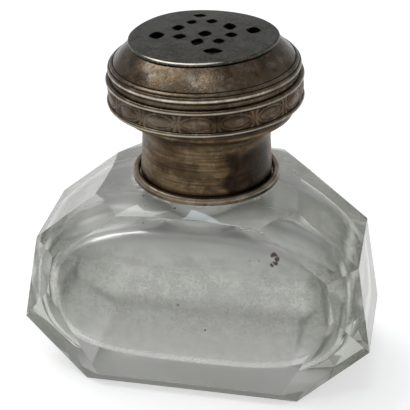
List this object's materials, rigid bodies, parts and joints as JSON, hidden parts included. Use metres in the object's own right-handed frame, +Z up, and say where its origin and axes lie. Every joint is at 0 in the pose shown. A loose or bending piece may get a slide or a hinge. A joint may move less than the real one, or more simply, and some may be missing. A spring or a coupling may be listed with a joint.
{
  "type": "salt shaker",
  "caption": "Step-cut glass salt shaker with a cemented silver collar and a pierced screw lid with an oval-medallion band.",
  "frame": {"origin": "middle of the foot, on the table", "axes": "+Z up, +X along the broad panels to the right, the front panel faces -Y; the neck and the lid's screw stand on a line parallel to Z at x = 0.5 mm"},
  "size_m": [0.07, 0.0374, 0.0704],
  "materials": {
    "glass": "clear, polished flat facets",
    "plaster": "chalky set plaster",
    "collar_silver": "tarnished silver, brown patina, spinning lines",
    "thread_silver": "dull silver, less tarnished inside",
    "lid_silver": "tarnished silver, bright where rubbed",
    "plate_silver": "dark grey tarnished silver, scratched",
    "leather": "compressed leather"
  },
  "bodies": {
    "flask": {"glass_body": "glass", "neck_cement": "plaster", "collar_sleeve": "collar_silver", "foot_ring": "collar_silver", "seat_disc": "collar_silver", "threaded_spigot": "thread_silver"},
    "washer": {"sealing_washer": "leather"},
    "lid": {"thread_liner": "thread_silver", "bottom_bead_wire": "lid_silver", "ornament_band": "lid_silver", "lower_bead_ring": "lid_silver", "upper_bead_ring": "lid_silver", "dome": "lid_silver", "pierced_plate": "plate_silver"}
  },
  "joints": [
    {"name": "washer_lift", "type": "slide", "parent": "flask", "child": "washer", "axis": [0, 0, 1], "range_m": [0, 0.00301]},
    {"name": "lid_screw", "type": "hinge", "parent": "washer", "child": "lid", "pos_m": [0.0005, 0, 0.0583], "axis": [0, 0, 1], "range_deg": [0, 540]}
  ],
  "couplings": [
    {"joint": "washer_lift", "follows": "lid_screw", "m_per_rad": 0.0003183}
  ]
}
